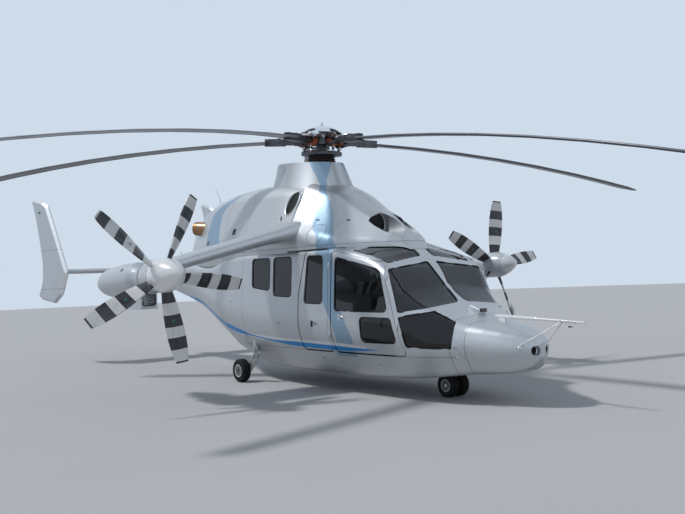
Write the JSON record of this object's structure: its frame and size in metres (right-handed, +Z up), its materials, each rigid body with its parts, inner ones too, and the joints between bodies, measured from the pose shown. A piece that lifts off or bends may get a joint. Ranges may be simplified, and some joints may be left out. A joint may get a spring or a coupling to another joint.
{
  "type": "compound helicopter",
  "caption": "Silver high-speed compound helicopter: main rotor, two tractor propellers on stub wings, twin tail fins, nose probe, doors and wheeled landing gear.",
  "frame": {"origin": "middle of the footprint at ground level", "axes": "+X towards the nose, +Y towards the left side, +Z up"},
  "size_m": [14.2672, 12.0291, 4.046],
  "materials": {
    "silver_paint": "metallic satin",
    "dark_fairing": "satin",
    "white_paint": "gloss",
    "blade_grey": "satin",
    "prop_paint": "gloss black and white bands",
    "polished_metal": "polished",
    "hub_metal": "satin",
    "gear_paint": "gloss",
    "boot_rubber": "matt",
    "tyre": "matt",
    "wheel_rim": "satin",
    "tinted_glass": "gloss",
    "lamp_glass": "gloss",
    "seat_cloth": "matt",
    "panel_plastic": "matt",
    "machinery": "matt",
    "exhaust_metal": "heat tinted"
  },
  "bodies": {
    "airframe": {"nose_cone": "silver_paint", "landing_lights": "lamp_glass", "cabin_shell": "silver_paint", "tail_boom": "silver_paint", "tail_cone": "silver_paint", "stabiliser": "silver_paint", "fin_right": "silver_paint", "fin_left": "silver_paint", "engine_cowling": "silver_paint", "front_fairing": "silver_paint", "mast_fairing": "silver_paint", "mast_boot": "boot_rubber", "wing_right": "silver_paint", "wing_left": "silver_paint", "nacelle_right": "silver_paint", "nacelle_left": "silver_paint", "main_leg_right": "gear_paint", "main_leg_left": "gear_paint", "nose_leg": "gear_paint", "crew_seats": "seat_cloth", "cabin_seats": "seat_cloth", "instrument_panel": "panel_plastic", "main_gearbox": "machinery", "engines": "machinery", "exhausts": "exhaust_metal", "nose_probe": "white_paint", "windscreen": "tinted_glass", "cabin_windows": "tinted_glass"},
    "main_rotor": {"rotor_hub": "hub_metal", "hub_cap": "polished_metal", "rotor_blades": "blade_grey", "pitch_links": "hub_metal"},
    "propeller_right": {"spinner_right": "white_paint", "prop_blades_right": "prop_paint"},
    "propeller_left": {"spinner_left": "white_paint", "prop_blades_left": "prop_paint"},
    "main_wheel_right": {"main_tyre_right": "tyre", "main_rim_right": "wheel_rim"},
    "main_wheel_left": {"main_tyre_left": "tyre", "main_rim_left": "wheel_rim"},
    "nose_steering": {"nose_fork": "gear_paint"},
    "nose_wheels": {"nose_tyres": "tyre", "nose_rims": "wheel_rim"},
    "crew_door_right": {"crew_door_right": "silver_paint", "crew_door_glass_right": "tinted_glass"},
    "crew_door_left": {"crew_door_left": "silver_paint", "crew_door_glass_left": "tinted_glass"},
    "mid_door_right": {"mid_door_right": "silver_paint", "mid_door_glass_right": "tinted_glass"},
    "mid_door_left": {"mid_door_left": "silver_paint", "mid_door_glass_left": "tinted_glass"}
  },
  "joints": [
    {"name": "rotor_turn", "type": "hinge", "parent": "airframe", "child": "main_rotor", "pos_m": [0.89, 0, 3.8], "axis": [0.0767, 0, 0.9971], "continuous": true},
    {"name": "propeller_right_turn", "type": "hinge", "parent": "airframe", "child": "propeller_right", "pos_m": [1.595, -3.14, 1.74], "axis": [0.9994, 0, 0.0349], "continuous": true},
    {"name": "propeller_left_turn", "type": "hinge", "parent": "airframe", "child": "propeller_left", "pos_m": [1.595, 3.14, 1.74], "axis": [0.9994, 0, 0.0349], "continuous": true},
    {"name": "main_wheel_right_roll", "type": "hinge", "parent": "airframe", "child": "main_wheel_right", "pos_m": [-0.215, -0.973, 0.186], "axis": [0, 1, 0], "continuous": true},
    {"name": "main_wheel_left_roll", "type": "hinge", "parent": "airframe", "child": "main_wheel_left", "pos_m": [-0.215, 0.973, 0.186], "axis": [0, 1, 0], "continuous": true},
    {"name": "nose_steer", "type": "hinge", "parent": "airframe", "child": "nose_steering", "pos_m": [3.61, 0, 0.42], "axis": [0, 0, 1], "range_deg": [-60, 60]},
    {"name": "nose_wheels_roll", "type": "hinge", "parent": "nose_steering", "child": "nose_wheels", "pos_m": [3.59, 0, 0.158], "axis": [0, 1, 0], "continuous": true},
    {"name": "crew_door_right_swing", "type": "hinge", "parent": "airframe", "child": "crew_door_right", "pos_m": [3.482, -0.94, 1.155], "axis": [-0.2857, 0, 0.9583], "range_deg": [0, 80]},
    {"name": "crew_door_left_swing", "type": "hinge", "parent": "airframe", "child": "crew_door_left", "pos_m": [3.482, 0.94, 1.155], "axis": [0.2857, 0, -0.9583], "range_deg": [0, 80]},
    {"name": "mid_door_right_swing", "type": "hinge", "parent": "airframe", "child": "mid_door_right", "pos_m": [2.19, -1.015, 1], "axis": [0, 0, 1], "range_deg": [0, 80]},
    {"name": "mid_door_left_swing", "type": "hinge", "parent": "airframe", "child": "mid_door_left", "pos_m": [2.19, 1.015, 1], "axis": [0, 0, -1], "range_deg": [0, 80]}
  ]
}
